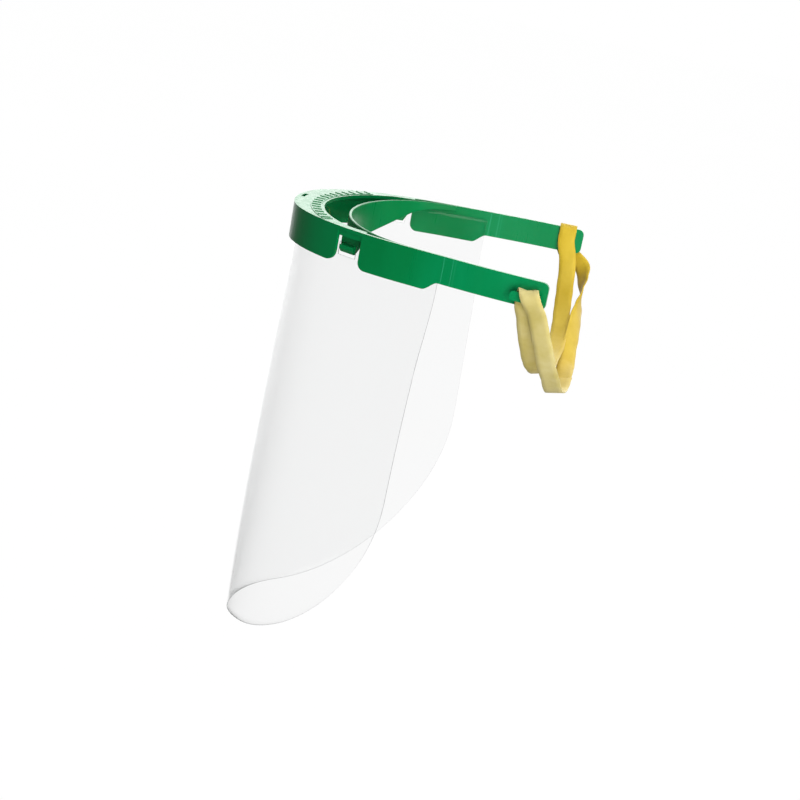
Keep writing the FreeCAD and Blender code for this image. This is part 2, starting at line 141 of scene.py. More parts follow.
# ---- raised pad on the brim, angles in degrees round the opening ----
PAD_ANGLE = 40.0
PAD_RADII = (72.6, 79.0)
PAD_SPAN = (-0.4, 0.3)   # sunk into the brim, proud of it
RIB_COUNT = 17
RIB_RADII = (73.2, 78.4)
RIB_SPAN = (0.1, 0.7)
RIB_HALF = 0.55
RIB_MIDDLE = 75.8
RIB_MARGIN = 2.0         # degrees from the last rib to the pad's end
RIB_ROUND = 0.16

# ---- visor tabs ----
TAB_AT = 83.4
TAB_INSET = 3.5          # outer face of a tab, in from the wall's outer face
TAB_WALL = 1.5
TAB_TOP = 2.3
TAB_BOTTOM = 14.2
TAB_CORNER = 0.9
TAB_ROUND = 0.3
NOSE_TOP = 9.6
NOSE_SLOPE = 0.5         # fall of the nose's upper face
NOSE_FLAT = 2.4          # upper edge to the end of its front face
NOSE_ROOT = 0.3          # runs this far into the plate
SIDE_TAB = dict(half=6.4, ahead=5.6, behind=3.2, slant=(3.2, 5.6), reach_to=1.2)
FRONT_TAB = dict(half=4.2, ahead=3.6, behind=3.6, slant=None, reach_to=2.15)

# ---- visor sheet ----
SHEET = 0.5
SHEET_INSET = 2.85       # middle of the sheet, in from the wall's outer face
SHEET_HALF = 139.4       # half of its flat width
SHEET_TOP = 5.2
SHEET_SIDE = 137.0       # depth at which the sides turn into the lower corners
SHEET_SAG = 24.0         # the lower edge hangs this much further at the middle
SHEET_CORNER_S = 91.5    # big elliptic lower corners
SHEET_CORNER_H = 102.0
FREE_FROM = 18.0         # below this depth the sheet is free
OPEN_OVER = 45.0         # and opens smoothly over this depth
OPEN_RATE = 0.30
OPEN_CURVE = 0.00132
LEAN_RATE = 0.018        # leans forward, and back again at the sides
LEAN_CURVE = 0.0001
TWIST = 0.075            # one side further forward than the other, at the lower edge
TWIST_DEPTH = 245.0
TWIST_POWER = 1.5
HOLE_AHEAD = 6.8         # ends of a side hole, from the tab's middle
HOLE_BEHIND = 5.0
FRONT_HOLE_HALF = 5.6
GRID_CLEAR = 1.2         # no grid column this near to a hole's edge
GRID_DEPTHS = (SHEET_TOP, 8.6, 12.3, 16.0, 20.0)
HOLE_ROWS = (1, 2)       # the holes take these rows of the grid
GRID_HALF = 40           # columns in half of the width
GRID_ROWS = 40           # rows below the fixed depths

# ---- latex band ----
BAND_AT = 189.6
BAND_WIDTH = 10.4
BAND_THICK = 0.9
BAND_PITCH = 1.4         # between the mesh's rings
BAND_LEAN = 0.16         # the left loop leans back at its hook
BAND_SEED = 0.7

MOVE = Vector((0.0, 51.2, 10.0))   # drawing to part


def place(point):
    """Drawing millimetres to the part's frame in metres."""
    return (Vector(point) + MOVE) / 1000.0


def clamp(value):
    return min(1.0, max(0.0, value))


def smooth(value):
    value = clamp(value)
    return value * value * (3.0 - 2.0 * value)


# ---- the wall, seen from above ----
def wall_state(s):
    """Outer face of the left wall at s from the front centre: x, y, heading."""
    x, y, heading, left = 0.0, FRONT_Y, 0.0, s
    for turn in TURNS:
        run = min(left, STEP)
        if run <= 0.0:
            break
        bend = math.radians(turn) * run / STEP
        chord = run * math.sin(bend / 2.0) / (bend / 2.0)
        x += chord * math.cos(heading + bend / 2.0)
        y += chord * math.sin(heading + bend / 2.0)
        heading += bend
        left -= run
    return x, y, heading


def wall_point(s, inset, z=0.0):
    """Point of the wall at s, inset from its outer face."""
    x, y, heading = wall_state(abs(s))
    side = -1.0 if s < 0.0 else 1.0
    return Vector((side * (x - inset * math.sin(heading)),
                   y + inset * math.cos(heading), z))


def brim_inset(s):
    """How far the brim plate reaches inward at a place on the wall."""
    x, y, heading = wall_state(abs(s))
    dx, dy = x, y - HOLE_Y
    along = -dx * math.sin(heading) + dy * math.cos(heading)
    beyond = dx * dx + dy * dy - HOLE_R * HOLE_R
    reach = 0.0
    if beyond > 0.0:
        reach = -along - math.sqrt(max(0.0, along * along - beyond))
    if GAP_START <= abs(s) <= GAP_END:
        reach = max(reach, RAIL)
    return max(reach, BRIM_LEAST)


# ---- solids drawn flat, then united, rounded and bent ----
def solid(name, point_rings):
    """Closed mesh through rings of points, with a flat face at each end."""
    bm = bmesh.new()
    rings = [[bm.verts.new(point) for point in ring] for ring in point_rings]
    bm.faces.new(rings[0])
    bm.faces.new(rings[-1])
    count = len(rings[0])
    for near, far in zip(rings, rings[1:]):
        for i in range(count):
            n = (i + 1) % count
            bm.faces.new((near[i], near[n], far[n], far[i]))
    bmesh.ops.recalc_face_normals(bm, faces=bm.faces)
    mesh = bpy.data.meshes.new(name)
    bm.to_mesh(mesh)
    bm.free()
    return mesh


def wall_prism(outline, outer, inner, side=1):
    """Prism through the wall. The outline is (s, z), mirrored where side is -1."""
    return solid("prism", [[(side * s, inset, z) for s, z in outline]
                           for inset in (outer, inner)])


def plate_prism(outline, low, high):
    """Flat plate. The outline is (s, inset)."""
    return solid("plate", [[(s, inset, z) for s, inset in outline]
                           for z in (low, high)])


def rectangle(left, right, low, high):
    return [(left, low), (right, low), (right, high), (left, high)]


def combined(first, others, cuts=()):
    """One closed mesh: the first with others added and cuts taken away."""
    base = bpy.data.objects.new("combined", first)
    scene.collection.objects.link(base)
    steps = [(mesh, "UNION") for mesh in others]
    steps += [(mesh, "DIFFERENCE") for mesh in cuts]
    tools = []
    for mesh, operation in steps:
        tool = bpy.data.objects.new("tool", mesh)
        scene.collection.objects.link(tool)
        tools.append(tool)
        step = base.modifiers.new("step", "BOOLEAN")
        step.operation = operation
        step.solver = "EXACT"
        step.object = tool
    graph = bpy.context.evaluated_depsgraph_get()
    result = bpy.data.meshes.new_from_object(base.evaluated_get(graph))
    for item in [base] + tools:
        bpy.data.objects.remove(item)
    return result


def rounded(mesh, width, wide_edge, angle=32.0, segments=3):
    """Round edges sharper than the angle, full width where wide_edge says."""
    bm = bmesh.new()
    bm.from_mesh(mesh)
    bmesh.ops.remove_doubles(bm, verts=bm.verts, dist=0.01)
    bmesh.ops.dissolve_limit(
        bm, angle_limit=math.radians(0.5), verts=bm.verts, edges=bm.edges,
        delimit={"NORMAL"}
    )
    weight = bm.edges.layers.float.get("bevel_weight_edge")
    if weight is None:
        weight = bm.edges.layers.float.new("bevel_weight_edge")
    for edge in bm.edges:
        sharp = edge.calc_face_angle(0.0) > math.radians(angle)
        if len(edge.link_faces) == 2 and sharp:
            edge[weight] = 1.0 if wide_edge(edge) else NARROW_ROUND
    bm.to_mesh(mesh)
    bm.free()
    thing = bpy.data.objects.new("rounding", mesh)
    scene.collection.objects.link(thing)
    bevel = thing.modifiers.new("bevel", "BEVEL")
    bevel.limit_method = "WEIGHT"
    bevel.width = width
    bevel.segments = segments
    bevel.profile = 0.5
    bevel.use_clamp_overlap = True
    bevel.loop_slide = True
    graph = bpy.context.evaluated_depsgraph_get()
    result = bpy.data.meshes.new_from_object(thing.evaluated_get(graph))
    bpy.data.objects.remove(thing)
    return result


def every_edge(edge):
    return True


def sliced(mesh, start, stop, pitch):
    """Cut every face at even steps along X, so that the mesh can bend."""
    bm = bmesh.new()
    bm.from_mesh(mesh)
    normal = Vector((1.0, 0.0, 0.0))
    for i in range(int(round((stop - start) / pitch)) + 1):
        bmesh.ops.bisect_plane(
            bm, geom=bm.verts[:] + bm.edges[:] + bm.faces[:], dist=1e-4,
            plane_co=normal * (start + i * pitch), plane_no=normal
        )
    bm.to_mesh(mesh)
    bm.free()
    return mesh


def bent(mesh, bend):
    """Move every vertex by bend(x, y, z), which returns drawing millimetres."""
    for vertex in mesh.vertices:
        vertex.co = place(bend(*vertex.co))
    return mesh


def piece(name, mesh, materials, angle=40.0, weighted=True):
    """A finished object, smooth except at corners."""
    bm = bmesh.new()
    bm.from_mesh(mesh)
    bmesh.ops.recalc_face_normals(bm, faces=bm.faces)
    bm.to_mesh(mesh)
    bm.free()
    mesh.name = name
    mesh.materials.clear()
    for material in materials:
        mesh.materials.append(material)
    mesh.shade_smooth()
    mesh.set_sharp_from_angle(angle=math.radians(angle))
    made = bpy.data.objects.new(name, mesh)
    scene.collection.objects.link(made)
    if weighted:
        even = made.modifiers.new("even_shading", "WEIGHTED_NORMAL")
        even.keep_sharp = True
    return made


def arc(cx, cy, radius, start, stop, count=6):
    """Points of an arc, angles in degrees."""
    points = []
    for i in range(count + 1):
        a = math.radians(start + (stop - start) * i / count)
        points.append((cx + radius * math.cos(a), cy + radius * math.sin(a)))
    return points


# ---- materials ----
SHEET_IOR = 1.43
SHEET_MIRROR = 0.55      # share of a bare sheet's reflection


def nodes_of(name):
    """A new material, its node tree and its Principled shader."""
    material = bpy.data.materials.new(name)
    material.use_nodes = True
    tree = material.node_tree
    shader = tree.nodes["Principled BSDF"]
    return material, tree, shader


def node(tree, kind, **values):
    made = tree.nodes.new(kind)
    for key, value in values.items():
        setattr(made, key, value)
    return made


def noise(tree, where, scale, detail=3.0, rough=0.5, stretch=None):
    """Noise texture, optionally stretched along an axis."""
    texture = node(tree, "ShaderNodeTexNoise")
    texture.inputs["Scale"].default_value = scale
    texture.inputs["Detail"].default_value = detail
    texture.inputs["Roughness"].default_value = rough
    if stretch is None:
        tree.links.new(where.outputs["Object"], texture.inputs["Vector"])
    else:
        mapping = node(tree, "ShaderNodeMapping")
        mapping.inputs["Scale"].default_value = stretch
        tree.links.new(where.outputs["Object"], mapping.inputs["Vector"])
        tree.links.new(mapping.outputs["Vector"], texture.inputs["Vector"])
    return texture


def ramp(tree, source, low, high, start=0.3, stop=0.7):
    """Colour ramp between two colours."""
    made = node(tree, "ShaderNodeValToRGB")
    made.color_ramp.elements[0].position = start
    made.color_ramp.elements[0].color = (*low, 1.0)
    made.color_ramp.elements[1].position = stop
    made.color_ramp.elements[1].color = (*high, 1.0)
    tree.links.new(source, made.inputs["Fac"])
    return made


def spread_of(tree, source, low, high):
    """Map noise, most of which lies between 0.3 and 0.7, to a range of numbers."""
    made = node(tree, "ShaderNodeMapRange")
    made.inputs["From Min"].default_value = 0.3
    made.inputs["From Max"].default_value = 0.7
    made.inputs["To Min"].default_value = low
    made.inputs["To Max"].default_value = high
    tree.links.new(source, made.inputs["Value"])
    return made


def bump_of(tree, source, strength, distance, below=None):
    """Bump from a height, laid over another bump where one is given."""
    made = node(tree, "ShaderNodeBump")
    made.inputs["Strength"].default_value = strength
    made.inputs["Distance"].default_value = distance
    tree.links.new(source, made.inputs["Height"])
    if below is not None:
        tree.links.new(below.outputs["Normal"], made.inputs["Normal"])
    return made


def green_plastic(name, low, high):
    """Glossy moulded polypropylene: flow marks, faint scuffs, uneven gloss."""
    material, tree, shader = nodes_of(name)
    where = node(tree, "ShaderNodeTexCoord")
    flow = noise(tree, where, scale=26.0, detail=4.0, rough=0.55,
                 stretch=(1.0, 1.0, 0.35))
    # A lighter green, blended in along Y towards the arms.
    arm_low, arm_high = [(0.0, c[1] * 1.25, c[2] * 1.5) for c in (low, high)]
    colour = ramp(tree, flow.outputs["Fac"], low, high)
    arm_tone = ramp(tree, flow.outputs["Fac"], arm_low, arm_high)
    split = node(tree, "ShaderNodeSeparateXYZ")
    tree.links.new(where.outputs["Object"], split.inputs["Vector"])
    along = node(tree, "ShaderNodeMapRange", interpolation_type="SMOOTHSTEP")
    along.inputs["From Min"].default_value = PALER_FROM
    along.inputs["From Max"].default_value = PALER_TO
    tree.links.new(split.outputs["Y"], along.inputs["Value"])
    arms = node(tree, "ShaderNodeMixRGB")
    tree.links.new(along.outputs["Result"], arms.inputs["Fac"])
    tree.links.new(colour.outputs["Color"], arms.inputs["Color1"])
    tree.links.new(arm_tone.outputs["Color"], arms.inputs["Color2"])
    last = arms
    # Painted highlight lines: the base colour is lightened in thin bands across the arms
    # at these places.
    for at, amount in HIGHLIGHT_LINES:
        highlight_line = node(tree, "ShaderNodeMath", operation="COMPARE")
        highlight_line.inputs[1].default_value = place(wall_point(at, 0.0)).y
        highlight_line.inputs[2].default_value = HIGHLIGHT_LINE_HALF
        tree.links.new(split.outputs["Y"], highlight_line.inputs[0])
        faint = node(tree, "ShaderNodeMath", operation="MULTIPLY")
        faint.inputs[1].default_value = amount
        tree.links.new(highlight_line.outputs["Value"], faint.inputs[0])
        painted_highlight = node(tree, "ShaderNodeMixRGB")
        painted_highlight.inputs["Color2"].default_value = (0.05, 0.48, 0.27, 1.0)
        tree.links.new(faint.outputs["Value"], painted_highlight.inputs["Fac"])
        tree.links.new(last.outputs["Color"], painted_highlight.inputs["Color1"])
        last = painted_highlight
    tree.links.new(last.outputs["Color"], shader.inputs["Base Color"])
    marks = noise(tree, where, scale=320.0, detail=5.0, rough=0.6,
                  stretch=(1.0, 1.0, 0.12))
    gloss = spread_of(tree, marks.outputs["Fac"], low=0.26, high=0.40)
    tree.links.new(gloss.outputs["Result"], shader.inputs["Roughness"])
    fine = noise(tree, where, scale=1500.0, detail=2.0, rough=0.5)
    skin = bump_of(tree, fine.outputs["Fac"], strength=0.10, distance=0.00008)
    wave = bump_of(tree, marks.outputs["Fac"], strength=0.16, distance=0.00010,
                   below=skin)
    tree.links.new(wave.outputs["Normal"], shader.inputs["Normal"])
    shader.inputs["IOR"].default_value = 1.49
    shader.inputs["Specular IOR Level"].default_value = 0.45
    return material


def clear_sheet():
    """Thin clear polyester: it passes light straight and mirrors the room faintly."""
    material = bpy.data.materials.new("clear_polyester")
    material.use_nodes = True
    tree = material.node_tree
    tree.nodes.clear()
    out = node(tree, "ShaderNodeOutputMaterial")
    where = node(tree, "ShaderNodeTexCoord")
    through = node(tree, "ShaderNodeBsdfTransparent")
    through.inputs["Color"].default_value = (0.987, 0.988, 0.988, 1.0)
    mirror = node(tree, "ShaderNodeBsdfGlossy")
    mirror.inputs["Color"].default_value = (1.0, 1.0, 1.0, 1.0)
    streak = noise(tree, where, scale=60.0, detail=3.0, rough=0.6,
                   stretch=(1.0, 1.0, 0.05))
    haze = spread_of(tree, streak.outputs["Fac"], low=0.05, high=0.11)
    tree.links.new(haze.outputs["Result"], mirror.inputs["Roughness"])
    ripple = bump_of(tree, streak.outputs["Fac"], strength=0.12, distance=0.0004)
    tree.links.new(ripple.outputs["Normal"], mirror.inputs["Normal"])
    index = node(tree, "ShaderNodeMapRange")
    index.inputs["To Min"].default_value = SHEET_IOR
    index.inputs["To Max"].default_value = 1.0 / SHEET_IOR
    side = node(tree, "ShaderNodeNewGeometry")
    tree.links.new(side.outputs["Backfacing"], index.inputs["Value"])
    edge = node(tree, "ShaderNodeFresnel")
    tree.links.new(index.outputs["Result"], edge.inputs["IOR"])
    coated = node(tree, "ShaderNodeMath", operation="MULTIPLY")
    coated.inputs[1].default_value = SHEET_MIRROR
    tree.links.new(edge.outputs["Fac"], coated.inputs[0])
    mix = node(tree, "ShaderNodeMixShader")
    tree.links.new(coated.outputs["Value"], mix.inputs["Fac"])
    tree.links.new(through.outputs["BSDF"], mix.inputs[1])
    tree.links.new(mirror.outputs["BSDF"], mix.inputs[2])
    tree.links.new(mix.outputs["Shader"], out.inputs["Surface"])
    return material


def cut_edge():
    """Sheared edge of the clear sheet, painted grey: painted shade for the way the clear
    edge turns light away.
    """
    material, tree, shader = nodes_of("sheet_cut_edge")
    where = node(tree, "ShaderNodeTexCoord")
    nicks = noise(tree, where, scale=900.0, detail=3.0, rough=0.6)
    # Grey painted shade, varied at random over the nicks.
    colour = ramp(tree, nicks.outputs["Fac"], (0.07, 0.085, 0.08), (0.20, 0.22, 0.22))
    tree.links.new(colour.outputs["Color"], shader.inputs["Base Color"])
    torn = bump_of(tree, nicks.outputs["Fac"], strength=0.3, distance=0.0001)
    tree.links.new(torn.outputs["Normal"], shader.inputs["Normal"])
    shader.inputs["Roughness"].default_value = 0.35
    shader.inputs["Alpha"].default_value = 0.92
    return material


def latex():
    """Natural latex strip: dull, with a powdery bloom; painted paler on the near left half
    as a painted sheen highlight, and deeper yellow on the far half as the painted glow of
    light shining through.
    """
    material, tree, shader = nodes_of("natural_latex")
    where = node(tree, "ShaderNodeTexCoord")
    cloud = noise(tree, where, scale=55.0, detail=4.0, rough=0.55)
    # Two painted tones of one latex: deep yellow is painted glow of light through the far
    # strands, the pale one a painted sheen highlight on the near strands.
    painted_backlit_glow = ramp(tree, cloud.outputs["Fac"], (0.60, 0.40, 0.010), (0.74, 0.53, 0.045))
    painted_highlight = ramp(tree, cloud.outputs["Fac"], (0.60, 0.49, 0.12), (0.76, 0.66, 0.30))
    split = node(tree, "ShaderNodeSeparateXYZ")
    tree.links.new(where.outputs["Object"], split.inputs["Vector"])
    # Painted light: the pale painted highlight takes over towards the near (left) side.
    across = node(tree, "ShaderNodeMapRange")
    across.inputs["From Min"].default_value = -0.02
    across.inputs["From Max"].default_value = 0.04
    tree.links.new(split.outputs["X"], across.inputs["Value"])
    colour = node(tree, "ShaderNodeMixRGB")
    tree.links.new(across.outputs["Result"], colour.inputs["Fac"])
    tree.links.new(painted_backlit_glow.outputs["Color"], colour.inputs["Color1"])
    tree.links.new(painted_highlight.outputs["Color"], colour.inputs["Color2"])
    tree.links.new(colour.outputs["Color"], shader.inputs["Base Color"])
    bloom = noise(tree, where, scale=700.0, detail=4.0, rough=0.6)
    rough = spread_of(tree, bloom.outputs["Fac"], low=0.48, high=0.68)
    tree.links.new(rough.outputs["Result"], shader.inputs["Roughness"])
    grain = bump_of(tree, bloom.outputs["Fac"], strength=0.25, distance=0.00012)
    soft = bump_of(tree, cloud.outputs["Fac"], strength=0.30, distance=0.0006,
                   below=grain)
    tree.links.new(soft.outputs["Normal"], shader.inputs["Normal"])
    shader.inputs["Specular IOR Level"].default_value = 0.4
    shader.inputs["Sheen Weight"].default_value = 0.2
    shader.inputs["Sheen Roughness"].default_value = 0.5
    return material


GREEN = green_plastic("green_polypropylene", (0.0, 0.180, 0.042), (0.0, 0.235, 0.066))
CLEAR = clear_sheet()
EDGE = cut_edge()
LATEX = latex()


# ---- frame shell ----
def front_panel():
    corner = FRONT_CORNER
    points = [(-GAP_START, 0.0), (GAP_START, 0.0)]
    points += arc(GAP_START - corner, -SKIRT + corner, corner, 0.0, -90.0)
    points += arc(-GAP_START + corner, -SKIRT + corner, corner, -90.0, -180.0)
    return wall_prism(points, 0.0, WALL)


def side_panel(side):
    """Side skirt and arm in one, with the S step between their depths."""
    centre = ARM_END - ARM_CORNER
    points = [(GAP_END, 0.0), (centre, 0.0)]
    points += arc(centre, -ARM_CORNER, ARM_CORNER, 90.0, 0.0)
    points += arc(centre, -ARM + ARM_CORNER, ARM_CORNER, 0.0, -90.0)
    for i in range(9):
        share = i / 8.0
        points.append((STEP_END - (STEP_END - STEP_START) * share,
                       -ARM - (SKIRT - ARM) * smooth(share)))
    points += arc(GAP_END + CORNER, -SKIRT + CORNER, CORNER, -90.0, -180.0)
    return wall_prism(points, 0.0, WALL, side)


def brim_plate():
    """Crescent with its rails, drawn along the wall."""
    stops = [i * BRIM_PITCH for i in range(BRIM_STOPS)]
    stops = [s for s in stops if abs(s - GAP_START) > 0.4 and abs(s - GAP_END) > 0.4]
    stops += [GAP_START, GAP_END, GAP_END + 0.05]
    stops.sort()
    left = [(s, brim_inset(s)) for s in stops]
    right = [(-s, inset) for s, inset in left[1:]]
    inner = right[::-1] + left
    return plate_prism([(-stops[-1], 0.0)] + inner + [(stops[-1], 0.0)], -PLATE, 0.0)


def hook_solids(side):
    """Finger that stands off the arm, and its root."""
    centre = HOOK_TIP + HOOK_CORNER
    points = [(HOOK_END, HOOK_TOP), (HOOK_END, HOOK_LOW), (centre, HOOK_LOW)]
    points += arc(centre, HOOK_LOW + HOOK_CORNER, HOOK_CORNER, -100.0, -180.0, 4)
    points += arc(centre, HOOK_TOP - HOOK_CORNER, HOOK_CORNER, 180.0, 90.0, 4)
    finger = wall_prism(points, -HOOK_GAP - HOOK_THICK, -HOOK_GAP, side)
    block = rectangle(HOOK_ROOT, HOOK_END, HOOK_TOP, HOOK_LOW)
    return [finger, wall_prism(block, -HOOK_GAP - HOOK_LAP, SUNK, side)]


def rail_rib(side):
    """Rib under the rail over the gap, set back from the wall face."""
    box = rectangle(GAP_START - RAIL_LAP, GAP_END + RAIL_LAP, RAIL_TOP, -RAIL_DEPTH)
    return wall_prism(box, RAIL_SET_BACK, RAIL_REAR, side)


def witness_lines(side):
    """Fine raised lines where the mould's inserts meet."""
    return [wall_prism(rectangle(at - WITNESS_HALF, at + WITNESS_HALF, *WITNESS_SPAN),
                       -WITNESS_PROUD, SUNK, side) for at in WITNESS_RAISED]


def shell_mesh():
    """The whole moulding but for head strip, pad and tabs, still flat."""
    slot = rectangle(-SLOT_HALF, SLOT_HALF, *SLOT_INSETS)
    parts = [brim_plate(), side_panel(1), side_panel(-1)]
    for side in (1, -1):
        parts += hook_solids(side) + witness_lines(side) + [rail_rib(side)]
    mesh = combined(front_panel(), parts, [plate_prism(slot, *SLOT_CUT)])

    def top_outer(edge):
        middle = (edge.verts[0].co + edge.verts[1].co) / 2.0
        return abs(middle.z) < 0.01 and abs(middle.y) < 0.01

    mesh = rounded(mesh, EDGE_ROUND, top_outer)
    return sliced(mesh, -ARM_END + 2.0, ARM_END - 2.0, 2.0)


def split_shell(mesh):
    """The front, left and right parts, bent. The cuts fall in the narrow rails."""
    thirds = {}
    for name, low, high in (("front", -CUT_AT, CUT_AT), ("left", CUT_AT, BEYOND),
                            ("right", -BEYOND, -CUT_AT)):
        bm = bmesh.new()
        bm.from_mesh(mesh)
        away = [f for f in bm.faces if not low < f.calc_center_median().x < high]
        bmesh.ops.delete(bm, geom=away, context="FACES")
        part = bpy.data.meshes.new(name)
        bm.to_mesh(part)
        bm.free()
        thirds[name] = bent(part, wall_point)
    return thirds


shell = split_shell(shell_mesh())
front_shell = piece("frame_front", shell["front"], [GREEN])
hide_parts("brim", "front_skirt", "left_bridge", "right_bridge")
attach(front_shell, "frame")
for side, name in ((1, "left"), (-1, "right")):
    wing = piece("frame_" + name + "_side", shell[name], [GREEN])
    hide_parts(name + "_side_skirt", name + "_arm", name + "_band_hook")
    place(wall_point(side * (HINGE - FLEX), WALL / 2.0))
    place(wall_point(side * (HINGE + FLEX), WALL / 2.0))
    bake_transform(wing)


# ---- head strip ----
def head_point(angle, inset, z):
    """Point on the head strip's ellipse. The angle is zero at the front centre."""
    x = HEAD_A * math.sin(angle)
    y = -HEAD_B * math.cos(angle)
    out = Vector((x / HEAD_A ** 2, y / HEAD_B ** 2)).normalized()
    return Vector((x - inset * out.x, HEAD_Y + y - inset * out.y, z))


def head_low(angle):
    """Height of the lower edge: full depth in the middle, shallow at the roots."""
    behind = HEAD_B - HEAD_B * math.cos(angle)
    for (y0, z0), (y1, z1) in zip(HEAD_LOW, HEAD_LOW[1:]):
        if behind <= y1:
            return z0 + (z1 - z0) * clamp((behind - y0) / (y1 - y0))
    return HEAD_LOW[-1][1]


def head_strip():
    """Drawn flat as (degrees, height), then bent round the ellipse."""
    count = 80
    angles = [HEAD_END * i / count for i in range(count + 1)]
    lows = [head_low(math.radians(angle)) for angle in angles]
    for _ in range(6):
        lows = [lows[0]] + [
            (lows[i - 1] + 2 * lows[i] + lows[i + 1]) / 4 for i in range(1, count)
        ] + [lows[-1]]
    left = list(zip(angles, lows))
    bottom = left[::-1] + [(-a, z) for a, z in left[1:]]
    outline = [(-HEAD_END, 0.0), (HEAD_END, 0.0)] + bottom
    mesh = wall_prism(outline, 0.0, HEAD_WALL)
    mesh = rounded(mesh, HEAD_ROUND, every_edge, 50.0)
    mesh = sliced(mesh, -80.0, 80.0, 1.0)
    return bent(mesh, lambda a, inset, z: head_point(math.radians(a), inset, z))


strip = piece("head_strip", head_strip(), [GREEN])
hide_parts("headband")
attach(strip, "frame")


# ---- raised pad with grip ribs ----
def pad_mesh():
    """Drawn as (degrees, radius), then bent round the brim's opening."""
    base = plate_prism(rectangle(-PAD_ANGLE, PAD_ANGLE, *PAD_RADII), *PAD_SPAN)
    half = math.degrees(RIB_HALF / RIB_MIDDLE)
    ribs = []
    for i in range(RIB_COUNT):
        at = (i / (RIB_COUNT - 1) - 0.5) * 2.0 * (PAD_ANGLE - RIB_MARGIN)
        ribs.append(plate_prism(rectangle(at - half, at + half, *RIB_RADII), *RIB_SPAN))
    mesh = combined(base, ribs)
    mesh = rounded(mesh, RIB_ROUND, every_edge, 50.0, 2)
    mesh = sliced(mesh, -PAD_ANGLE + 1.0, PAD_ANGLE - 1.0, 2.0)

    def round_opening(angle, radius, z):
        a = math.radians(angle)
        return Vector((radius * math.sin(a), HOLE_Y - radius * math.cos(a), z))

    return bent(mesh, round_opening)


pad = piece("brim_grip_pad", pad_mesh(), [GREEN])
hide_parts("brim_pad")
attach(pad, "frame")


# ---- visor tabs ----
def tab_mesh(at, half, ahead, behind, slant, reach_to):
    """Spring plate with a ramped nose, drawn flat and turned to stand at the wall."""
    low = -TAB_BOTTOM + TAB_CORNER
    plate = [(-half, -TAB_TOP), (half, -TAB_TOP)]
    if slant is None:
        plate += arc(half - TAB_CORNER, low, TAB_CORNER, 0.0, -90.0, 3)
    else:
        plate += [(half, -TAB_BOTTOM + slant[1]), (half - slant[0], -TAB_BOTTOM)]
    plate += arc(-half + TAB_CORNER, low, TAB_CORNER, -90.0, -180.0, 3)
    body = wall_prism(plate, 0.0, TAB_WALL)
    reach = TAB_INSET - reach_to
    foot = -TAB_BOTTOM + 0.1
    profile = ((NOSE_ROOT, -NOSE_TOP), (-reach, -NOSE_TOP - NOSE_SLOPE),
               (-reach, -NOSE_TOP - NOSE_FLAT), (0.0, foot), (NOSE_ROOT, foot))
    nose = solid("nose", [[(x, inset, z) for inset, z in profile]
                          for x in (-ahead, behind)])
    mesh = rounded(combined(body, [nose]), TAB_ROUND, every_edge, 25.0, 2)
    x, y, heading = wall_state(abs(at))
    side = -1.0 if at < 0.0 else 1.0

    def turn(u, depth, z):
        inset = TAB_INSET + depth
        return Vector((side * (x + u * math.cos(heading) - inset * math.sin(heading)),
                       y + u * math.sin(heading) + inset * math.cos(heading), z))

    return bent(mesh, turn)


for name, at, sizes in (("left", TAB_AT, SIDE_TAB), ("right", -TAB_AT, SIDE_TAB),
                        ("front", 0.0, FRONT_TAB)):
    tab = piece(name + "_spring_tab", tab_mesh(at, **sizes), [GREEN])
    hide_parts(name + "_visor_tab")
    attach(tab, name + "_tab")


# ---- visor ----
def spread(depth):
    """How far the sheet's rear edges stand outward of the frame at a depth."""
    freed = smooth((depth - FREE_FROM) / OPEN_OVER)
    return freed * (OPEN_RATE * depth - OPEN_CURVE * depth * depth)


def sheet_bottom(s):
    past = max(0.0, (abs(s) - SHEET_HALF + SHEET_CORNER_S) / SHEET_CORNER_S)
    rounding = math.sqrt(max(0.0, 1.0 - past * past))
    sag = SHEET_SAG * (1.0 - (s / SHEET_HALF) ** 2)
    return SHEET_SIDE + (SHEET_CORNER_H + sag) * rounding


def sheet_point(s, depth):
    """Point of the sheet. Its free part opens, leans out and twists slightly."""
    at_top = wall_point(s, SHEET_INSET)
    rear = wall_point(SHEET_HALF, SHEET_INSET)
    back = (at_top.y - FRONT_Y) / (rear.y - FRONT_Y)
    x = at_top.x * (1.0 + spread(depth) / rear.x)
    below = max(0.0, depth - FREE_FROM)
    y = at_top.y - LEAN_RATE * below + LEAN_CURVE * below * below * back
    y -= TWIST * x * (below / TWIST_DEPTH) ** TWIST_POWER
    return Vector((x, y, -depth))


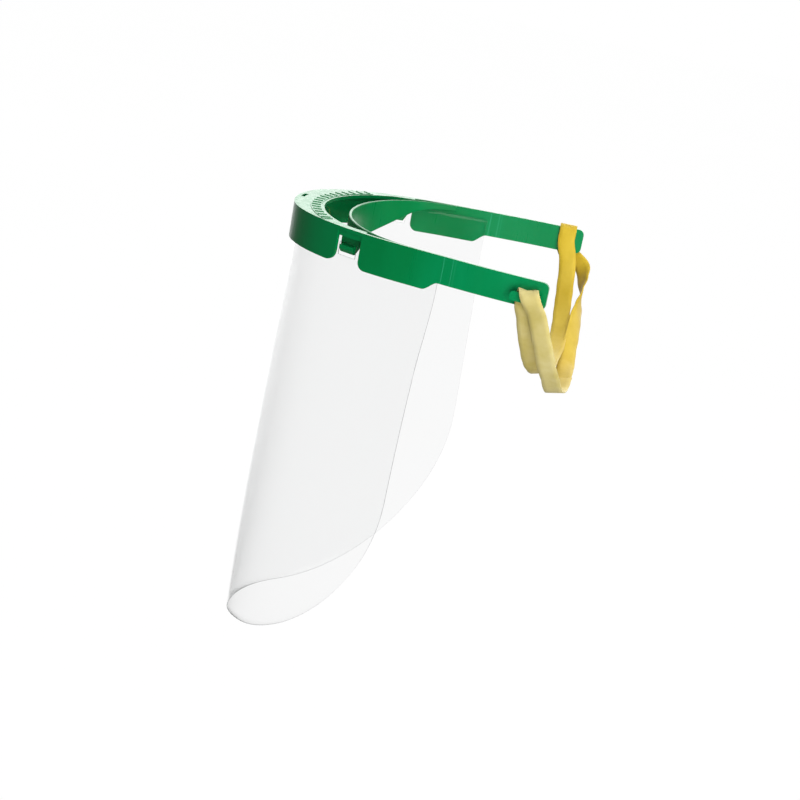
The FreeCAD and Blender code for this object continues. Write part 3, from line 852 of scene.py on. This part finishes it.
def visor_mesh():
    """Even grid with three square holes left open for the tab noses."""
    holes = [(-TAB_AT - HOLE_BEHIND, -TAB_AT + HOLE_AHEAD),
             (-FRONT_HOLE_HALF, FRONT_HOLE_HALF),
             (TAB_AT - HOLE_AHEAD, TAB_AT + HOLE_BEHIND)]
    marks = [s for hole in holes for s in hole]
    columns = [SHEET_HALF * math.sin(math.pi / 2 * (i / GRID_HALF - 1.0))
               for i in range(2 * GRID_HALF + 1)]
    columns = [s for s in columns if all(abs(s - mark) > GRID_CLEAR for mark in marks)]
    columns = sorted(columns + marks)
    last = GRID_DEPTHS[-1]
    bm = bmesh.new()
    grid = []
    for s in columns:
        free = sheet_bottom(s) - last
        depths = list(GRID_DEPTHS)
        depths += [last + free * j / GRID_ROWS for j in range(1, GRID_ROWS + 1)]
        grid.append([bm.verts.new(place(sheet_point(s, depth))) for depth in depths])
    for i, (near, far) in enumerate(zip(grid, grid[1:])):
        middle = (columns[i] + columns[i + 1]) / 2.0
        for j in range(len(near) - 1):
            if j in HOLE_ROWS and any(a < middle < b for a, b in holes):
                continue
            bm.faces.new((near[j], far[j], far[j + 1], near[j + 1]))
    loose = [v for v in bm.verts if not v.link_faces]
    bmesh.ops.delete(bm, geom=loose, context="VERTS")
    mesh = bpy.data.meshes.new("visor")
    bm.to_mesh(mesh)
    bm.free()
    return mesh


visor = piece("visor_sheet", visor_mesh(), [CLEAR, EDGE], 60.0, False)
skin = visor.modifiers.new("thickness", "SOLIDIFY")
skin.thickness = SHEET / 1000.0
skin.offset = 0.0
skin.use_even_offset = True
skin.material_offset_rim = 1
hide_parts("visor")
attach(visor, "frame")


# ---- latex band ----
def along_hook(side, stand_offs):
    """Band points beside a hook: distance off the arm face, height, shift backwards."""
    heading = wall_state(BAND_AT)[2]
    lean = BAND_LEAN if side > 0 else 0.0
    run = Vector((side * math.cos(heading), math.sin(heading), lean)).normalized()
    return [(wall_point(side * (BAND_AT + shift), -off, z), run)
            for off, z, shift in stand_offs]


def hanging(points):
    """Band points in the open: place, then the direction across the strip."""
    return [(Vector(p[:3]), Vector(p[3:]).normalized()) for p in points]


def curve_points(path, pitch):
    """Even points on a smooth curve through the path, and the direction across."""
    dense = []
    for i in range(len(path) - 1):
        p0 = path[max(0, i - 1)][0]
        p1, p2 = path[i][0], path[i + 1][0]
        p3 = path[min(len(path) - 1, i + 2)][0]
        span = (p2 - p1).length
        m1 = (p2 - p0) / max(1e-6, (p2 - p1).length + (p1 - p0).length) * span
        m2 = (p3 - p1) / max(1e-6, (p3 - p2).length + (p2 - p1).length) * span
        for j in range(24):
            t = j / 24.0
            at = ((2 * t ** 3 - 3 * t ** 2 + 1) * p1 + (t ** 3 - 2 * t ** 2 + t) * m1
                  + (3 * t ** 2 - 2 * t ** 3) * p2 + (t ** 3 - t ** 2) * m2)
            width = path[i][1].lerp(path[i + 1][1], smooth(t)).normalized()
            dense.append((at, width))
    dense.append(path[-1])
    even = [dense[0]]
    gone = 0.0
    for (a, _), (b, width) in zip(dense, dense[1:]):
        gone += (b - a).length
        if gone >= pitch:
            even.append((b, width))
            gone = 0.0
    if (even[-1][0] - dense[-1][0]).length > pitch * 0.4:
        even.append(dense[-1])
    else:
        even[-1] = dense[-1]
    return even


# The strip's cross-section, in half widths and half thicknesses.
SECTION = ((-1.0, -0.35), (-0.955, -1.0), (-0.5, -1.0), (0.0, -1.0), (0.5, -1.0),
           (0.955, -1.0), (1.0, -0.35), (1.0, 0.35), (0.955, 1.0), (0.5, 1.0),
           (0.0, 1.0), (-0.5, 1.0), (-0.955, 1.0), (-1.0, 0.35))


def ribbon_mesh(path, seed):
    """Flat rubber strip, a little cupped and uneven. Returns its mesh and length."""
    points = curve_points(path, BAND_PITCH)
    rings = []
    for i, (at, width) in enumerate(points):
        before = points[max(0, i - 1)][0]
        after = points[min(len(points) - 1, i + 1)][0]
        run = (after - before).normalized()
        lift = run.cross(width).normalized()
        width = lift.cross(run).normalized()
        wander = (0.12 * math.sin(i * 0.37 + seed)
                  + 0.08 * math.sin(i * 0.9 + 2.0 * seed))
        cup = 0.16 * math.sin(i * 0.11 + 1.3 * seed)
        ring = []
        for u, v in SECTION:
            across = u * BAND_WIDTH / 2.0 + wander
            rise = v * BAND_THICK / 2.0 + cup * (u * u - 0.4)
            ring.append(place(at + width * across + lift * rise))
        rings.append(ring)
    length = sum((b[0] - a[0]).length for a, b in zip(points, points[1:]))
    return solid("ribbon", rings), length


# Stand-offs of the strip's middle from the arm's face, and its height over the finger.
half = BAND_THICK / 2.0
near = HOOK_GAP / 2.0
far = HOOK_GAP + HOOK_THICK + 0.45 + half
crown = HOOK_TOP + 0.5 + half
left_path = hanging([
    (0.0, 87.0, -71.6, 0.1, 1.0, 0.25),
    (17.0, 87.4, -73.4, 0.06, 1.0, 0.25),
    (36.0, 86.0, -70.0, 0.06, 1.0, 0.25),
    (54.0, 83.5, -58.2, 0.1, 1.0, 0.25),
    (67.0, 80.0, -45.3, 0.1, 1.0, 0.25),
    (77.0, 76.2, -31.5, 0.1, 1.0, 0.18),
    (83.6, 72.4, -19.4, 0.1, 1.0, 0.1),
]) + along_hook(1, [
    (far + 0.2, -11.0, 4.2),
    (far + 0.1, crown - 0.7, 2.0),
    (near + 1.9, crown + 0.9, 1.0),
    (near + 0.25, crown - 0.3, 0.0),
    (near, -10.2, -0.7),
    (near, -14.6, -0.4),
]) + hanging([
    (78.6, 66.4, -23.5, 0.1, 1.0, 0.1),
    (71.5, 68.7, -35.0, 0.1, 1.0, 0.2),
    (61.0, 71.3, -46.8, 0.08, 1.0, 0.25),
    (47.0, 74.2, -57.0, 0.06, 1.0, 0.25),
    (26.0, 76.6, -63.4, 0.05, 1.0, 0.28),
    (0.0, 77.4, -62.9, 0.05, 1.0, 0.28),
])
right_path = hanging([
    (0.0, 87.0, -71.6, -0.1, -1.0, -0.25),
    (-18.0, 85.8, -66.0, 0.7, -0.7, 0.0),
    (-36.0, 84.6, -57.2, 0.8, -0.6, 0.1),
    (-50.0, 83.6, -49.6, 0.85, -0.5, 0.15),
    (-61.0, 83.2, -43.2, 0.93, -0.3, 0.2),
    (-70.0, 82.6, -36.0, 0.93, 0.1, 0.35),
    (-77.0, 80.8, -28.7, 0.7, 0.6, 0.4),
    (-82.0, 78.0, -21.6, 0.35, 0.9, 0.2),
]) + along_hook(-1, [
    (near, -14.8, 1.6),
    (near, -11.0, 0.3),
    (near, -1.0, 0.3),
    (0.3, 1.1, 0.4),
    (-WALL / 2.0, 1.5, 0.4),
    (-WALL - 0.5, 0.9, 0.4),
    (-WALL - 0.6 - half, -1.4, 0.4),
    (-WALL - 0.8 - half, -8.0, 0.4),
]) + hanging([
    (-76.0, 69.6, -21.0, 0.0, 1.0, 0.2),
    (-66.6, 71.8, -34.4, 0.0, 1.0, 0.24),
    (-54.0, 74.2, -46.0, 0.0, 1.0, 0.25),
    (-38.0, 76.2, -55.6, 0.0, 1.0, 0.25),
    (-20.0, 77.4, -60.8, 0.02, 1.0, 0.28),
    (0.0, 77.4, -62.9, 0.05, 1.0, 0.28),
])
for side, name, path in ((1, "left", left_path), (-1, "right", right_path)):
    mesh, length = ribbon_mesh(path, BAND_SEED)
    band = piece(name + "_band_half", mesh, [LATEX], 60.0, False)
    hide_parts(name + "_band")
    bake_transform(band)


# ---- floor, light, camera: metres in the part's frame ----
FLOOR_DROP = 0.0008      # the floor lies this far under the object
FLOOR_HALF = 6.0

# The room that the object mirrors: one bright lobe round LOBE_AXIS. Each stop is a place
# from the far side (0) to the lobe's middle (1), then how bright it is there.
LOBE_AXIS = (-0.930, -0.12, 0.345)
LOBE_STOPS = ((0.0, 0.01), (0.70, 0.03), (0.79, 0.10), (0.83, 0.24), (0.86, 0.36),
              (0.90, 0.52), (0.95, 0.80), (1.0, 1.0))
LOBE_STRENGTH = 3.3

LIGHTS_AIM = (0.0, 0.04, -0.05)
# name, place, width, height, watts, seen in gloss
LIGHTS = (("key_light", (1.0, 0.2, 1.3), 1.2, 1.2, 12.0, True),
          ("fill_light", (0.7, 0.85, 0.15), 0.7, 0.7, 7.5, False),
          ("low_light", (1.2, 0.55, -0.7), 1.2, 0.9, 13.5, False),
          ("top_light", (-0.5, 0.0, 1.9), 1.6, 1.6, 12.0, True))

CAMERA_AT = (0.84051, 0.18898, 0.18263)
CAMERA_RIGHT = (-0.2224, 0.95844, 0.17869)
CAMERA_UP = (-0.2718, -0.23696, 0.93272)
CAMERA_SENSOR = 36.0
CAMERA_LENS = 67.5


def plain_floor():
    """Pale seamless paper, lit evenly to white."""
    material, tree, shader = nodes_of("pale_floor")
    where = node(tree, "ShaderNodeTexCoord")
    mottle = noise(tree, where, scale=2.0, detail=2.0)
    colour = ramp(tree, mottle.outputs["Fac"], (0.010,) * 3, (0.014,) * 3)
    tree.links.new(colour.outputs["Color"], shader.inputs["Base Color"])
    shader.inputs["Roughness"].default_value = 0.9
    shader.inputs["Specular IOR Level"].default_value = 0.0
    shader.inputs["Emission Color"].default_value = (1.0, 1.0, 1.0, 1.0)
    shader.inputs["Emission Strength"].default_value = 0.99
    return material


def lay_floor(height):
    """A wide floor that neither lights, shades nor shows in the object."""
    bm = bmesh.new()
    bmesh.ops.create_grid(bm, x_segments=8, y_segments=8, size=FLOOR_HALF,
                          matrix=Matrix.Translation((0.0, 0.0, height)))
    mesh = bpy.data.meshes.new("floor")
    bm.to_mesh(mesh)
    bm.free()
    mesh.materials.append(plain_floor())
    floor = bpy.data.objects.new("floor", mesh)
    floor.visible_diffuse = False
    floor.visible_glossy = False
    floor.visible_shadow = False
    scene.collection.objects.link(floor)


def light_room():
    """The lobe lights and is mirrored. The camera itself sees plain white paper."""
    world = bpy.data.worlds.new("studio")
    world.use_nodes = True
    tree = world.node_tree
    tree.nodes.clear()
    out = node(tree, "ShaderNodeOutputWorld")
    where = node(tree, "ShaderNodeTexCoord")
    facing = node(tree, "ShaderNodeVectorMath", operation="DOT_PRODUCT")
    facing.inputs[1].default_value = LOBE_AXIS
    tree.links.new(where.outputs["Generated"], facing.inputs[0])
    level = node(tree, "ShaderNodeMapRange")
    level.inputs["From Min"].default_value = -1.0
    tree.links.new(facing.outputs["Value"], level.inputs["Value"])
    sweep = node(tree, "ShaderNodeValToRGB")
    for position, _ in LOBE_STOPS[1:-1]:
        sweep.color_ramp.elements.new(position)
    for element, (position, value) in zip(sweep.color_ramp.elements, LOBE_STOPS):
        element.position = position
        element.color = (value, value, value, 1.0)
    tree.links.new(level.outputs["Result"], sweep.inputs["Fac"])
    studio = node(tree, "ShaderNodeBackground")
    studio.inputs["Strength"].default_value = LOBE_STRENGTH
    tree.links.new(sweep.outputs["Color"], studio.inputs["Color"])
    paper = node(tree, "ShaderNodeBackground")
    paper.inputs["Color"].default_value = (1.0, 1.0, 1.0, 1.0)
    paper.inputs["Strength"].default_value = 1.0
    ray = node(tree, "ShaderNodeLightPath")
    pick = node(tree, "ShaderNodeMixShader")
    tree.links.new(ray.outputs["Is Camera Ray"], pick.inputs["Fac"])
    tree.links.new(studio.outputs["Background"], pick.inputs[1])
    tree.links.new(paper.outputs["Background"], pick.inputs[2])
    tree.links.new(pick.outputs["Shader"], out.inputs["Surface"])
    scene.world = world


def softbox(name, at, width, height, power, mirrored):
    light = bpy.data.lights.new(name, "AREA")
    light.shape = "RECTANGLE"
    light.size = width
    light.size_y = height
    light.energy = power
    lamp = bpy.data.objects.new(name, light)
    lamp.location = at
    aim = Vector(LIGHTS_AIM) - Vector(at)
    lamp.rotation_euler = aim.to_track_quat("-Z", "Y").to_euler()
    lamp.visible_camera = False
    lamp.visible_glossy = mirrored
    scene.collection.objects.link(lamp)


def set_camera():
    data = bpy.data.cameras.new("camera")
    data.sensor_width = CAMERA_SENSOR
    data.lens = CAMERA_LENS
    data.clip_start = 0.05
    data.clip_end = 30.0
    camera = bpy.data.objects.new("camera", data)
    right, up = Vector(CAMERA_RIGHT), Vector(CAMERA_UP)
    back = right.cross(up).normalized()
    up = back.cross(right).normalized()
    right = up.cross(back).normalized()
    turn = Matrix((right, up, back)).transposed().to_4x4()
    camera.matrix_world = Matrix.Translation(CAMERA_AT) @ turn
    scene.collection.objects.link(camera)
    scene.camera = camera


lay_floor(cad_box[0].z - FLOOR_DROP)
light_room()
for lamp_settings in LIGHTS:
    softbox(*lamp_settings)
set_camera()
scene.view_settings.view_transform = "Standard"
